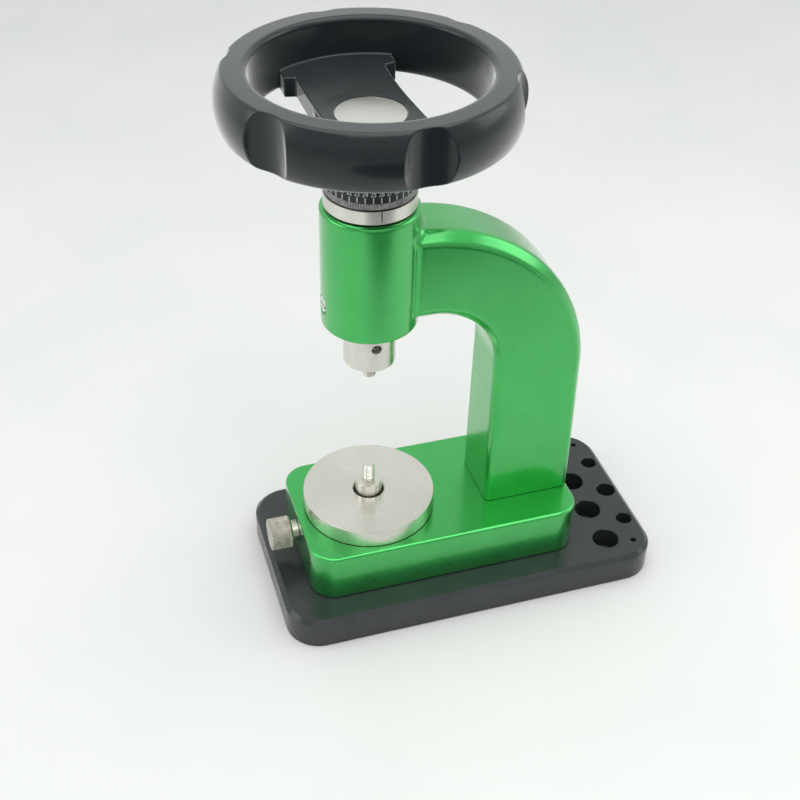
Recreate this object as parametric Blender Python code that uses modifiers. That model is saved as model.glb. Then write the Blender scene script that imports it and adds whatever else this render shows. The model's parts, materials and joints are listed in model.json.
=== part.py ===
"""Bench press for watch crystals and case backs.

X runs along the base towards the column, Y runs across it and Z is up. The origin is where the
spindle axis meets the underside of the base plate. The handwheel turns a lead screw that can't
rise, and a keyed ram with the chuck in its lower end comes down on it.

The driving dimensions below are in millimetres.
"""
import math

import bmesh
import bpy
from mathutils import Vector

MM = 0.001
GAP = 0.3               # running or seating clearance between neighbours
OVERRUN = 2.0           # how far a cutter reaches past the face it cuts

# base plate
PLATE_X = (-51.7, 142.0)
PLATE_HALF_WIDTH = 50.4
PLATE_HEIGHT = 16.5
PLATE_CORNER = 16.9
PLATE_CHAMFER = 2.4
RACK_INNER_X = 118.5    # row of four large die sockets
RACK_OUTER_X = 134.3    # row of three smaller sockets
RACK_PITCH = 23.0
RACK_LARGE_RADIUS = 6.7
RACK_MIDDLE_RADIUS = 4.9
RACK_SIDE_RADIUS = 4.0
RACK_PIN_RADIUS = 1.45
RACK_PIN_PLACE = (132.2, 39.3)
RACK_DEPTH = 12.0

# base block
BLOCK_X = (-37.0, 101.9)
BLOCK_HALF_WIDTH = 36.1
BLOCK_BOTTOM = PLATE_HEIGHT + GAP
BLOCK_TOP = 42.7
BLOCK_CORNER = 12.6
BLOCK_EDGE = 1.6

# column, arm and head, one casting
COLUMN_X = (56.6, 101.3)
COLUMN_HALF_WIDTH = 17.0
FRAME_BOTTOM = BLOCK_TOP + GAP
FRAME_EDGE = 3.0
ARM_TOP = 203.4
ARM_UNDERSIDE = 160.4
BACK_RADIUS = 84.6
THROAT_RADIUS = 32.0
HEAD_RADIUS = 21.9
HEAD_Z = (155.7, 214.2)
HEAD_FILLET = 4.0
HEAD_UPPER_BORE = 15.3
HEAD_LOWER_BORE = 14.0
HEAD_BORE_STEP = 202.8

# anvil disc and die post
DISC_RADIUS = 32.6
DISC_TOP = 52.0
DISC_HOLE = 7.6
RECESS_DEPTH = 0.8
RECESS_CLEARANCE = 0.4
RECESS_FLOOR = BLOCK_TOP - RECESS_DEPTH
POST_RADIUS = 6.6
POST_SHOULDER = 58.5
POST_BOTTOM = 19.8
POST_BUSH_RADIUS = 9.0
POST_BUSH_BOTTOM = 19.3
STUD_RADIUS = 3.0
STUD_LENGTH = 9.0

# thumb screw that clamps the post, along X
THUMB_Z = 32.5
THUMB_HEAD_RADIUS = 8.0
THUMB_HEAD_LENGTH = 11.0
THUMB_NECK_RADIUS = 5.2
THUMB_NECK_LENGTH = 3.2
THUMB_THREAD_RADIUS = 3.0
THUMB_TIP = 13.0        # distance of the screw's tip from the post's axis
PAD_RADIUS = 2.6

# ram and chuck
RAM_RADIUS = 12.0
RAM_Z = (133.2, 202.9)
RAM_SOCKET_RADIUS = 4.3
RAM_SOCKET_TOP = 150.3
RAM_NUT_SEAT = 9.3
RAM_NUT_Z = (178.3, 202.6)
RAM_CLEARANCE_BORE = 7.6
RAM_CLEARANCE_FLOOR = 157.5
KEYWAY_HALF_WIDTH = 2.2
KEYWAY_FLOOR = 10.4
KEYWAY_Z = (163.6, 200.4)
KEY_SCREW_Z = 166.5
KEY_SCREW_RADIUS = 4.0
KEY_DOG_RADIUS = 1.9
CHUCK_SCREW_Z = 145.4
CHUCK_SCREW_RADIUS = 2.0
CHUCK_HOLE_RADIUS = 2.3
UPPER_STUD_SHANK = 4.0
UPPER_STUD_LENGTH = 10.5
RAM_BUSH_Z = (156.2, 200.0)

# feed: collar, lead screw and dial
COLLAR_FLANGE_RADIUS = 20.2
COLLAR_SPIGOT_RADIUS = 15.0
COLLAR_Z = (210.2, 221.1)
SCREW_THREAD_RADIUS = 6.0
SCREW_FLANGE_RADIUS = 13.5
SCREW_FLANGE_Z = (203.5, 207.6)
SCREW_JOURNAL_RADIUS = 8.0
SCREW_JOURNAL_TOP = 237.3
SCREW_SEAT_RADIUS = 7.0
SCREW_SEAT_TOP = 246.0
SCREW_END_RADIUS = 5.0
SCREW_Z = (160.0, 252.4)
DIAL_RADIUS = 19.4
DIAL_BAND_RADIUS = 19.7
DIAL_Z = (221.4, 237.0)
DIAL_BAND_HEIGHT = 3.1
DIAL_GROOVE_Z = (227.0, 230.6)

# handwheel
WHEEL_REST_ANGLE = 4.7  # degrees, spokes from the Y axis, as the wheel stands at rest
WHEEL_RADIUS = 62.9
WHEEL_TOP = 275.7
WHEEL_UNDERSIDE = 251.3
RIM_INNER_RADIUS = 47.7
LOBES = 6
SCALLOP_RADIUS = 15.0
SCALLOP_DEPTH = 5.9
HUB_TOP = 255.3
HUB_BOTTOM = 237.6
HUB_BORE = 7.3
CAP_RADIUS = 14.9
CAP_THICKNESS = 2.0
NUT_RECESS_RADIUS = 10.5
NUT_RECESS_FLOOR = 246.5
SPOKE_HALF_WIDTH = 19.8
SHOULDER_HALF_WIDTH = 25.0
SHOULDER_FROM = 35.5    # distance from the axis where the spoke widens into the rim
KEY_HALF_WIDTH = 1.5

# fasteners underneath
PLATE_SCREW_X = (-24.0, 88.0)
PLATE_SCREW_Y = 26.0
FRAME_SCREW_X = (67.0, 91.0)
DOWEL_X = 79.0
DOWEL_Y = 10.0
DOWEL_RADIUS = 3.0
DOWEL_Z = (33.0, 55.0)

MATERIALS = {
    # name: (linear colour, roughness, metallic)
    "green_coat": ((0.045, 0.40, 0.09), 0.34, 0.55),
    "black_coat": ((0.018, 0.020, 0.021), 0.30, 0.10),
    "wheel_black": ((0.012, 0.013, 0.014), 0.25, 0.0),
    "dial_black": ((0.015, 0.016, 0.017), 0.38, 0.20),
    "nickel": ((0.66, 0.63, 0.57), 0.24, 1.0),
    "steel": ((0.45, 0.45, 0.45), 0.35, 1.0),
    "bronze": ((0.52, 0.34, 0.14), 0.38, 1.0),
    "rubber": ((0.02, 0.02, 0.02), 0.75, 0.0),
}


# ---------------------------------------------------------------- scene and helpers

def clear_scene():
    for old in list(bpy.data.objects):
        bpy.data.objects.remove(old)


def new_collection(name):
    made = bpy.data.collections.new(name)
    bpy.context.scene.collection.children.link(made)
    return made


def make_material(name):
    colour, roughness, metallic = MATERIALS[name]
    made = bpy.data.materials.new(name)
    made.use_nodes = True
    shader = made.node_tree.nodes["Principled BSDF"]
    shader.inputs["Base Color"].default_value = (*colour, 1.0)
    shader.inputs["Roughness"].default_value = roughness
    shader.inputs["Metallic"].default_value = metallic
    made.diffuse_color = (*colour, 1.0)
    return made


clear_scene()
PRESS = new_collection("watch_case_press")
CUTTERS = new_collection("cutters")
FINISH = {name: make_material(name) for name in MATERIALS}


def metres(point):
    return Vector(point) * MM


def add_object(name, mesh, at=(0, 0, 0), along=(0, 0, 1), finish=None):
    """Link a mesh as a part, or as a cutter where it has no finish. Its Z axis points along."""
    made = bpy.data.objects.new(name, mesh)
    made.location = metres(at)
    made.rotation_euler = Vector((0, 0, 1)).rotation_difference(Vector(along)).to_euler()
    if finish:
        PRESS.objects.link(made)
        mesh.materials.append(FINISH[finish])
    else:
        CUTTERS.objects.link(made)
        made.hide_render = True
        made.display_type = "WIRE"
    return made


def turned(name, profile, segments=36, at=(0, 0, 0), along=(0, 0, 1), finish=None):
    """Turn a closed profile of (radius, height) points, listed down its outer side, about Z."""
    mesh = bpy.data.meshes.new(name)
    points = [(radius * MM, 0.0, height * MM) for radius, height in profile]
    edges = [(i, i + 1) for i in range(len(points) - 1)]
    if profile[0][0] > 0 and profile[-1][0] > 0:
        edges.append((len(points) - 1, 0))
    mesh.from_pydata(points, edges, [])
    made = add_object(name, mesh, at, along, finish)
    screw = made.modifiers.new("turn", "SCREW")
    screw.steps = screw.render_steps = segments
    screw.use_merge_vertices = True
    screw.merge_threshold = 0.00001
    screw.use_smooth_shade = False
    return made


def rod(name, radius, low, high, segments=24, at=(0, 0, 0), along=(0, 0, 1), finish=None):
    """A plain cylinder from low to high on its own Z axis."""
    mesh = bpy.data.meshes.new(name)
    shape = bmesh.new()
    bmesh.ops.create_cone(shape, cap_ends=True, segments=segments, radius1=radius * MM,
                          radius2=radius * MM, depth=(high - low) * MM)
    bmesh.ops.translate(shape, verts=shape.verts, vec=(0, 0, (low + high) / 2 * MM))
    shape.to_mesh(mesh)
    shape.free()
    return add_object(name, mesh, at, along, finish)


def box(name, low, high, at=(0, 0, 0), finish=None):
    """A box between two corners."""
    mesh = bpy.data.meshes.new(name)
    shape = bmesh.new()
    bmesh.ops.create_cube(shape, size=1.0)
    size = metres(high) - metres(low)
    bmesh.ops.scale(shape, verts=shape.verts, vec=size)
    bmesh.ops.translate(shape, verts=shape.verts, vec=(metres(low) + metres(high)) / 2)
    shape.to_mesh(mesh)
    shape.free()
    return add_object(name, mesh, at, finish=finish)


def extruded(name, outline, low, high, along_y=False, finish=None):
    """Extrude a flat outline: XY points from low to high, or XZ points across Y."""
    curve = bpy.data.curves.new(name, "CURVE")
    curve.dimensions = "2D"
    curve.fill_mode = "BOTH"
    curve.extrude = (high - low) / 2 * MM
    spline = curve.splines.new("POLY")
    spline.points.add(len(outline) - 1)
    for point, (u, v) in zip(spline.points, outline):
        point.co = (u * MM, v * MM, 0.0, 1.0)
    spline.use_cyclic_u = True
    guide = bpy.data.objects.new(name + "_outline", curve)
    CUTTERS.objects.link(guide)
    mesh = bpy.data.meshes.new_from_object(guide.evaluated_get(bpy.context.evaluated_depsgraph_get()))
    bpy.data.objects.remove(guide)
    mesh.name = name
    shape = bmesh.new()
    shape.from_mesh(mesh)
    bmesh.ops.remove_doubles(shape, verts=shape.verts, dist=0.00001)
    bmesh.ops.dissolve_limit(shape, angle_limit=math.radians(0.5), verts=shape.verts,
                             edges=shape.edges)
    middle = (low + high) / 2 * MM
    for vertex in shape.verts:
        x, y, z = vertex.co
        vertex.co = (x, -z + middle, y) if along_y else (x, y, z + middle)
    bmesh.ops.recalc_face_normals(shape, faces=shape.faces)
    shape.to_mesh(mesh)
    shape.free()
    return add_object(name, mesh, finish=finish)


def arc(centre, radius, start, end, steps):
    """Points of an arc, both ends included; angles in degrees."""
    points = []
    for step in range(steps + 1):
        angle = math.radians(start + (end - start) * step / steps)
        points.append((centre[0] + radius * math.cos(angle), centre[1] + radius * math.sin(angle)))
    return points


def rounded_rectangle(x_range, half_width, radius, steps):
    low, high = x_range[0] + radius, x_range[1] - radius
    side = half_width - radius
    return (arc((high, side), radius, 0, 90, steps) + arc((low, side), radius, 90, 180, steps)
            + arc((low, -side), radius, 180, 270, steps)
            + arc((high, -side), radius, 270, 360, steps))


def boolean(target, tools, operation):
    for tool in tools:
        step = target.modifiers.new(tool.name, "BOOLEAN")
        step.operation = operation
        step.solver = "EXACT"
        step.object = tool
    return target


def cut(target, *tools):
    return boolean(target, tools, "DIFFERENCE")


def join(target, *tools):
    return boolean(target, tools, "UNION")


def soften(target, width, segments=2, angle=40.0):
    """Round or chamfer the edges that turn by more than an angle."""
    bevel = target.modifiers.new("edge", "BEVEL")
    bevel.width = width * MM
    bevel.segments = segments
    bevel.limit_method = "ANGLE"
    bevel.angle_limit = math.radians(angle)
    return target


def soften_top(target, width, segments):
    """Round or chamfer the flat top's outer edge only, by bevel weight."""
    mesh = target.data
    top = max(vertex.co.z for vertex in mesh.vertices)
    weight = mesh.attributes.new("bevel_weight_edge", "FLOAT", "EDGE")
    for edge in mesh.edges:
        on_top = all(mesh.vertices[i].co.z > top - 0.00001 for i in edge.vertices)
        weight.data[edge.index].value = 1.0 if on_top else 0.0
    bevel = target.modifiers.new("top_edge", "BEVEL")
    bevel.width = width * MM
    bevel.segments = segments
    bevel.limit_method = "WEIGHT"
    return target


# ---------------------------------------------------------------- base

def rack_holes():
    """Each storage hole of the base plate as (x, y, radius)."""
    holes = [(RACK_INNER_X, RACK_PITCH * row, RACK_LARGE_RADIUS) for row in (-1.5, -0.5, 0.5, 1.5)]
    holes.append((RACK_OUTER_X, 0.0, RACK_MIDDLE_RADIUS))
    for side in (-1, 1):
        holes.append((RACK_OUTER_X, RACK_PITCH * side, RACK_SIDE_RADIUS))
        holes.append((RACK_PIN_PLACE[0], RACK_PIN_PLACE[1] * side, RACK_PIN_RADIUS))
    return holes


def cap_screw_profile(shank, head, head_height, length):
    """A socket head screw standing head down, its head's face at height 0."""
    return [(0, head_height + length), (shank, head_height + length), (shank, head_height),
            (head, head_height), (head, 0.6), (head - 0.6, 0), (0, 0)]


def cap_screw(name, at, shank, head, head_height, length, key):
    screw = turned(name, cap_screw_profile(shank, head, head_height, length), 16, at,
                   finish="steel")
    socket = rod(name + "_socket", key / math.sqrt(3), -OVERRUN, head_height * 0.55, 6, at)
    return cut(screw, socket)


def plate_screws():
    """M6 screws from below through the plate into the block."""
    number = 0
    for x in PLATE_SCREW_X:
        for side in (-1, 1):
            number += 1
            cap_screw(f"plate_screw_{number}", (x, side * PLATE_SCREW_Y, 0.8), 3.0, 5.0, 6.0, 25.0, 5.0)


def frame_screws():
    """M8 screws from the block's underside up into the column."""
    for number, x in enumerate(FRAME_SCREW_X, 1):
        cap_screw(f"frame_screw_{number}", (x, 0, BLOCK_BOTTOM + GAP), 4.0, 6.5, 8.0, 35.0, 6.0)


def frame_dowels():
    for number, side in enumerate((-1, 1), 1):
        rod(f"frame_dowel_{number}", DOWEL_RADIUS, *DOWEL_Z, 16, (DOWEL_X, side * DOWEL_Y, 0),
            finish="steel")


def base_plate():
    outline = rounded_rectangle(PLATE_X, PLATE_HALF_WIDTH, PLATE_CORNER, 6)
    plate = extruded("base_plate", outline, 0, PLATE_HEIGHT, finish="black_coat")
    soften_top(plate, PLATE_CHAMFER, 1)
    for number, (x, y, radius) in enumerate(rack_holes()):
        sides = 24 if radius > RACK_PIN_RADIUS else 12
        cut(plate, rod(f"rack_hole_{number}", radius, PLATE_HEIGHT - RACK_DEPTH,
                       PLATE_HEIGHT + OVERRUN, sides, (x, y, 0)))
    for x in PLATE_SCREW_X:
        for side in (-1, 1):
            place = (x, side * PLATE_SCREW_Y, 0)
            cut(plate, rod("plate_screw_head_seat", 5.5, -OVERRUN, 7.1, 20, place),
                rod("plate_screw_hole", 3.3, 5.0, PLATE_HEIGHT + OVERRUN, 16, place))
    return plate


def base_block():
    outline = rounded_rectangle(BLOCK_X, BLOCK_HALF_WIDTH, BLOCK_CORNER, 6)
    block = extruded("base_block", outline, BLOCK_BOTTOM, BLOCK_TOP, finish="green_coat")
    soften_top(block, BLOCK_EDGE, 2)
    cut(block,
        rod("disc_recess", DISC_RADIUS + RECESS_CLEARANCE, RECESS_FLOOR, BLOCK_TOP + OVERRUN, 48),
        rod("post_bush_seat", POST_BUSH_RADIUS + GAP, POST_BUSH_BOTTOM - GAP, BLOCK_TOP, 24),
        rod("thumb_screw_hole", THUMB_THREAD_RADIUS + GAP, POST_BUSH_RADIUS - 1,
            -BLOCK_X[0] + OVERRUN, 20, (0, 0, THUMB_Z), (-1, 0, 0)))
    for x in PLATE_SCREW_X:
        for side in (-1, 1):
            cut(block, rod("plate_screw_thread", 3.3, BLOCK_BOTTOM - OVERRUN, 33.0, 16,
                           (x, side * PLATE_SCREW_Y, 0)))
    for x in FRAME_SCREW_X:
        cut(block,
            rod("frame_screw_head_seat", 7.0, BLOCK_BOTTOM - OVERRUN, 25.5, 20, (x, 0, 0)),
            rod("frame_screw_hole", 4.3, 24.0, BLOCK_TOP + OVERRUN, 16, (x, 0, 0)))
    for side in (-1, 1):
        cut(block, rod("dowel_hole", DOWEL_RADIUS + GAP, DOWEL_Z[0] - 0.5, BLOCK_TOP + OVERRUN, 16,
                       (DOWEL_X, side * DOWEL_Y, 0)))
    return block


# ---------------------------------------------------------------- column, arm and head

def frame_outline():
    """Side view of the column and arm, from the column's foot round the back to the head."""
    back = arc((COLUMN_X[1] - BACK_RADIUS, ARM_TOP - BACK_RADIUS), BACK_RADIUS, 0, 90, 12)
    throat = arc((COLUMN_X[0] - THROAT_RADIUS, ARM_UNDERSIDE - THROAT_RADIUS), THROAT_RADIUS,
                 90, 0, 9)
    return ([(COLUMN_X[0], FRAME_BOTTOM), (COLUMN_X[1], FRAME_BOTTOM)] + back
            + [(0, ARM_TOP), (0, ARM_UNDERSIDE)] + throat)


def head_web():
    """Plan view of the hollow fillets where the arm's sides run into the round head."""
    reach = HEAD_RADIUS + HEAD_FILLET
    centre_y = COLUMN_HALF_WIDTH + HEAD_FILLET
    centre_x = math.sqrt(reach ** 2 - centre_y ** 2)
    start = 180 + math.degrees(math.atan2(centre_y, centre_x))
    side = arc((centre_x, centre_y), HEAD_FILLET, start, 270, 5)
    return [(0, 0)] + [(x, -y) for x, y in side] + side[::-1]


def c_frame():
    frame = extruded("c_frame", frame_outline(), -COLUMN_HALF_WIDTH, COLUMN_HALF_WIDTH,
                     along_y=True, finish="green_coat")
    soften(frame, FRAME_EDGE, 2, 60.0)
    foot = box("column_foot_trim", (0, -30, 0), (130, 30, FRAME_BOTTOM + FRAME_EDGE))
    foot_shape = rounded_rectangle(COLUMN_X, COLUMN_HALF_WIDTH, FRAME_EDGE, 2)
    foot_block = extruded("column_foot", foot_shape, FRAME_BOTTOM, FRAME_BOTTOM + 2 * FRAME_EDGE)
    head = turned("head_round", [(0, HEAD_Z[1]), (HEAD_RADIUS - 2.0, HEAD_Z[1]),
                                 (HEAD_RADIUS - 0.6, HEAD_Z[1] - 0.6), (HEAD_RADIUS, HEAD_Z[1] - 2.0),
                                 (HEAD_RADIUS, HEAD_Z[0] + 1.0), (HEAD_RADIUS - 1.0, HEAD_Z[0]),
                                 (0, HEAD_Z[0])], 48)
    web = extruded("head_web", head_web(), ARM_UNDERSIDE + 1.2, ARM_TOP - 1.2)
    cut(frame, foot)
    join(frame, foot_block, head, web)
    cut(frame,
        rod("head_lower_bore", HEAD_LOWER_BORE, HEAD_Z[0] - OVERRUN, HEAD_BORE_STEP + 1, 36),
        rod("head_upper_bore", HEAD_UPPER_BORE, HEAD_BORE_STEP, HEAD_Z[1] + OVERRUN, 36),
        rod("key_screw_hole", KEY_SCREW_RADIUS + GAP, HEAD_LOWER_BORE - 2, HEAD_RADIUS + OVERRUN,
            20, (0, 0, KEY_SCREW_Z), (-1, 0, 0)))
    for x in FRAME_SCREW_X:
        cut(frame, rod("frame_screw_thread", 4.3, FRAME_BOTTOM - OVERRUN, 62.0, 16, (x, 0, 0)))
    for side in (-1, 1):
        cut(frame, rod("column_dowel_hole", DOWEL_RADIUS + GAP, FRAME_BOTTOM - OVERRUN,
                       DOWEL_Z[1] + 0.5, 16, (DOWEL_X, side * DOWEL_Y, 0)))
    return frame


# ---------------------------------------------------------------- anvil, post and its clamp

def anvil_disc():
    edge = 0.4
    low = RECESS_FLOOR + GAP
    return turned("anvil_disc", [
        (DISC_HOLE, DISC_TOP), (DISC_RADIUS - edge, DISC_TOP), (DISC_RADIUS, DISC_TOP - edge),
        (DISC_RADIUS, low), (DISC_HOLE, low)], 48, finish="nickel")


def die_post():
    chamfer = 0.7
    edge = 0.4
    tip = POST_SHOULDER + STUD_LENGTH
    return turned("die_post", [
        (0, tip), (STUD_RADIUS - chamfer, tip), (STUD_RADIUS, tip - chamfer),
        (STUD_RADIUS, POST_SHOULDER), (POST_RADIUS - edge, POST_SHOULDER),
        (POST_RADIUS, POST_SHOULDER - edge), (POST_RADIUS, POST_BOTTOM + chamfer),
        (POST_RADIUS - chamfer, POST_BOTTOM), (0, POST_BOTTOM)], 24,
        finish="nickel")


def post_bush():
    inner = POST_RADIUS + GAP
    bush = turned("post_bush", [
        (inner, RECESS_FLOOR), (POST_BUSH_RADIUS, RECESS_FLOOR),
        (POST_BUSH_RADIUS, POST_BUSH_BOTTOM), (inner, POST_BUSH_BOTTOM)], 24, finish="steel")
    return cut(bush, rod("clamp_pad_hole", PAD_RADIUS + GAP, 2, POST_BUSH_RADIUS + OVERRUN, 16,
                         (0, 0, THUMB_Z), (-1, 0, 0)))


def thumb_screw():
    """The screw's own Z axis points out of the block, along -X."""
    neck = -BLOCK_X[0] + GAP
    head = neck + THUMB_NECK_LENGTH
    end = head + THUMB_HEAD_LENGTH
    chamfer = 0.8
    return turned("thumb_screw", [
        (0, end), (THUMB_HEAD_RADIUS - chamfer, end), (THUMB_HEAD_RADIUS, end - chamfer),
        (THUMB_HEAD_RADIUS, head + chamfer), (THUMB_HEAD_RADIUS - chamfer, head),
        (THUMB_NECK_RADIUS, head), (THUMB_NECK_RADIUS, neck), (THUMB_THREAD_RADIUS, neck),
        (THUMB_THREAD_RADIUS, THUMB_TIP + chamfer), (THUMB_THREAD_RADIUS - chamfer, THUMB_TIP),
        (0, THUMB_TIP)], 28, (0, 0, THUMB_Z), (-1, 0, 0), "nickel")


def clamp_pad():
    return rod("clamp_pad", PAD_RADIUS, POST_RADIUS + GAP, THUMB_TIP - GAP, 16,
               (0, 0, THUMB_Z), (-1, 0, 0), "bronze")


# ---------------------------------------------------------------- ram and chuck

def ram():
    low, high = RAM_Z
    edge = 1.0
    body = turned("ram", [
        (RAM_NUT_SEAT, high), (RAM_RADIUS, high), (RAM_RADIUS, low + edge),
        (RAM_RADIUS - edge, low), (0, low), (0, RAM_CLEARANCE_FLOOR),
        (RAM_CLEARANCE_BORE, RAM_CLEARANCE_FLOOR), (RAM_CLEARANCE_BORE, RAM_NUT_Z[0] - GAP),
        (RAM_NUT_SEAT, RAM_NUT_Z[0] - GAP)], 36, finish="nickel")
    return cut(
        body,
        rod("chuck_socket", RAM_SOCKET_RADIUS, low - OVERRUN, RAM_SOCKET_TOP, 24),
        rod("chuck_screw_hole", CHUCK_HOLE_RADIUS, UPPER_STUD_SHANK - 1, RAM_RADIUS + OVERRUN, 16,
            (0, 0, CHUCK_SCREW_Z), (0, -1, 0)),
        box("keyway", (-RAM_RADIUS - OVERRUN, -KEYWAY_HALF_WIDTH, KEYWAY_Z[0]),
            (-KEYWAY_FLOOR, KEYWAY_HALF_WIDTH, KEYWAY_Z[1])))


def ram_nut():
    outer, inner = RAM_NUT_SEAT - GAP, SCREW_THREAD_RADIUS + GAP
    return turned("ram_nut", [(inner, RAM_NUT_Z[1]), (outer, RAM_NUT_Z[1]),
                              (outer, RAM_NUT_Z[0]), (inner, RAM_NUT_Z[0])], 24, finish="bronze")


def ram_bush():
    outer, inner = HEAD_LOWER_BORE - GAP, RAM_RADIUS + GAP
    bush = turned("ram_bush", [(inner, RAM_BUSH_Z[1]), (outer, RAM_BUSH_Z[1]),
                               (outer, RAM_BUSH_Z[0]), (inner, RAM_BUSH_Z[0])], 36,
                  finish="bronze")
    return cut(bush, rod("key_screw_way", KEY_DOG_RADIUS + GAP, RAM_RADIUS - 2,
                         HEAD_LOWER_BORE + OVERRUN, 16, (0, 0, KEY_SCREW_Z), (-1, 0, 0)))


def key_screw():
    """Slotted screw in the head's side, whose dog point keeps the ram from turning."""
    shoulder = HEAD_LOWER_BORE + GAP
    face = HEAD_RADIUS - 0.3
    screw = turned("key_screw", [
        (0, face), (KEY_SCREW_RADIUS - 0.5, face), (KEY_SCREW_RADIUS, face - 0.5),
        (KEY_SCREW_RADIUS, shoulder), (KEY_DOG_RADIUS, shoulder),
        (KEY_DOG_RADIUS, KEYWAY_FLOOR + GAP), (0, KEYWAY_FLOOR + GAP)], 20,
        (0, 0, KEY_SCREW_Z), (-1, 0, 0), "nickel")
    slot = box("key_screw_slot", (-face - OVERRUN, -KEY_SCREW_RADIUS - 1, -0.45),
               (-face + 1.3, KEY_SCREW_RADIUS + 1, 0.45), (0, 0, KEY_SCREW_Z))
    return cut(screw, slot)


def chuck_screw():
    """Short set screw in the ram's side; its own Z axis points out of the ram, along -Y."""
    at, along = (0, 0, CHUCK_SCREW_Z), (0, -1, 0)
    tip, face = UPPER_STUD_SHANK + GAP, 9.3
    screw = turned("chuck_screw", [
        (0, face), (CHUCK_SCREW_RADIUS - 0.3, face), (CHUCK_SCREW_RADIUS, face - 0.3),
        (CHUCK_SCREW_RADIUS, tip + 0.6), (CHUCK_SCREW_RADIUS - 0.6, tip), (0, tip)], 16, at, along,
        "steel")
    return cut(screw, rod("chuck_screw_socket", 2.0 / math.sqrt(3), face - 2.0, face + OVERRUN, 6,
                          at, along))


def upper_stud():
    seat = RAM_Z[0] + GAP
    tip = RAM_Z[0] - UPPER_STUD_LENGTH
    top = RAM_SOCKET_TOP - GAP
    chamfer = 0.7
    return turned("upper_stud", [
        (0, top), (UPPER_STUD_SHANK - 0.5, top), (UPPER_STUD_SHANK, top - 0.5),
        (UPPER_STUD_SHANK, seat), (STUD_RADIUS, seat), (STUD_RADIUS, tip + chamfer),
        (STUD_RADIUS - chamfer, tip), (0, tip)], 24, finish="nickel")


# ---------------------------------------------------------------- feed

def head_collar():
    inner = SCREW_JOURNAL_RADIUS + GAP
    seat = HEAD_Z[1] + GAP
    return turned("head_collar", [
        (inner, COLLAR_Z[1]), (COLLAR_FLANGE_RADIUS - 0.4, COLLAR_Z[1]),
        (COLLAR_FLANGE_RADIUS, COLLAR_Z[1] - 0.4), (COLLAR_FLANGE_RADIUS, seat),
        (COLLAR_SPIGOT_RADIUS, seat), (COLLAR_SPIGOT_RADIUS, COLLAR_Z[0]), (inner, COLLAR_Z[0])],
        40, finish="nickel")


def thrust_washer():
    inner = SCREW_JOURNAL_RADIUS + 2 * GAP
    low, high = SCREW_FLANGE_Z[1] + GAP, COLLAR_Z[0] - GAP
    return turned("thrust_washer", [(inner, high), (SCREW_FLANGE_RADIUS, high),
                                    (SCREW_FLANGE_RADIUS, low), (inner, low)], 28, finish="bronze")


def lead_screw():
    low, high = SCREW_Z
    screw = turned("lead_screw", [
        (0, high), (SCREW_END_RADIUS, high), (SCREW_END_RADIUS, SCREW_SEAT_TOP),
        (SCREW_SEAT_RADIUS, SCREW_SEAT_TOP), (SCREW_SEAT_RADIUS, SCREW_JOURNAL_TOP),
        (SCREW_JOURNAL_RADIUS, SCREW_JOURNAL_TOP), (SCREW_JOURNAL_RADIUS, SCREW_FLANGE_Z[1]),
        (SCREW_FLANGE_RADIUS, SCREW_FLANGE_Z[1]), (SCREW_FLANGE_RADIUS, SCREW_FLANGE_Z[0]),
        (SCREW_THREAD_RADIUS, SCREW_FLANGE_Z[0]), (SCREW_THREAD_RADIUS, low + 1.0),
        (SCREW_THREAD_RADIUS - 1.0, low), (0, low)], 28, finish="steel")
    slot = box("lead_screw_keyway", (5.3, -KEY_HALF_WIDTH - GAP, HUB_BOTTOM),
               (SCREW_JOURNAL_RADIUS + 1, KEY_HALF_WIDTH + GAP, SCREW_SEAT_TOP + 1))
    return cut(screw, slot)


def dial_ring():
    bore = SCREW_JOURNAL_RADIUS + GAP
    low, high = DIAL_Z
    band_top = low + DIAL_BAND_HEIGHT
    groove = bore + 2.6
    return turned("dial_ring", [
        (bore, high), (DIAL_RADIUS - 0.5, high), (DIAL_RADIUS, high - 0.5),
        (DIAL_RADIUS, band_top), (DIAL_BAND_RADIUS, band_top - 0.3), (DIAL_BAND_RADIUS, low),
        (bore, low), (bore, DIAL_GROOVE_Z[0]), (groove, DIAL_GROOVE_Z[0]),
        (groove, DIAL_GROOVE_Z[1]), (bore, DIAL_GROOVE_Z[1])], 40, finish="dial_black")


def dial_friction_ring():
    radius = 1.1
    centre = (SCREW_JOURNAL_RADIUS + GAP + radius, sum(DIAL_GROOVE_Z) / 2)
    return turned("dial_friction_ring", arc(centre, radius, 90, -225, 7), 24, finish="rubber")


# ---------------------------------------------------------------- handwheel

def wheel_profile():
    """Section of the wheel: hub and web, then the rim, down its outer side and back."""
    web_top = [(HUB_BORE, HUB_TOP), (24.0, HUB_TOP), (RIM_INNER_RADIUS, HUB_TOP + 4.1)]
    rim = [(48.5, WHEEL_TOP - 1.8), (50.2, WHEEL_TOP), (58.6, WHEEL_TOP), (60.2, WHEEL_TOP - 2.0),
           (61.5, WHEEL_TOP - 4.8), (62.5, WHEEL_TOP - 8.4), (WHEEL_RADIUS, WHEEL_TOP - 12.8),
           (62.5, WHEEL_TOP - 17.2), (61.2, WHEEL_TOP - 21.4), (58.8, WHEEL_UNDERSIDE),
           (48.5, WHEEL_UNDERSIDE)]
    web_bottom = [(24.0, HUB_TOP - 8.8), (22.0, HUB_TOP - 9.6), (21.0, HUB_BOTTOM),
                  (HUB_BORE, HUB_BOTTOM)]
    return web_top + rim + web_bottom


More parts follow.
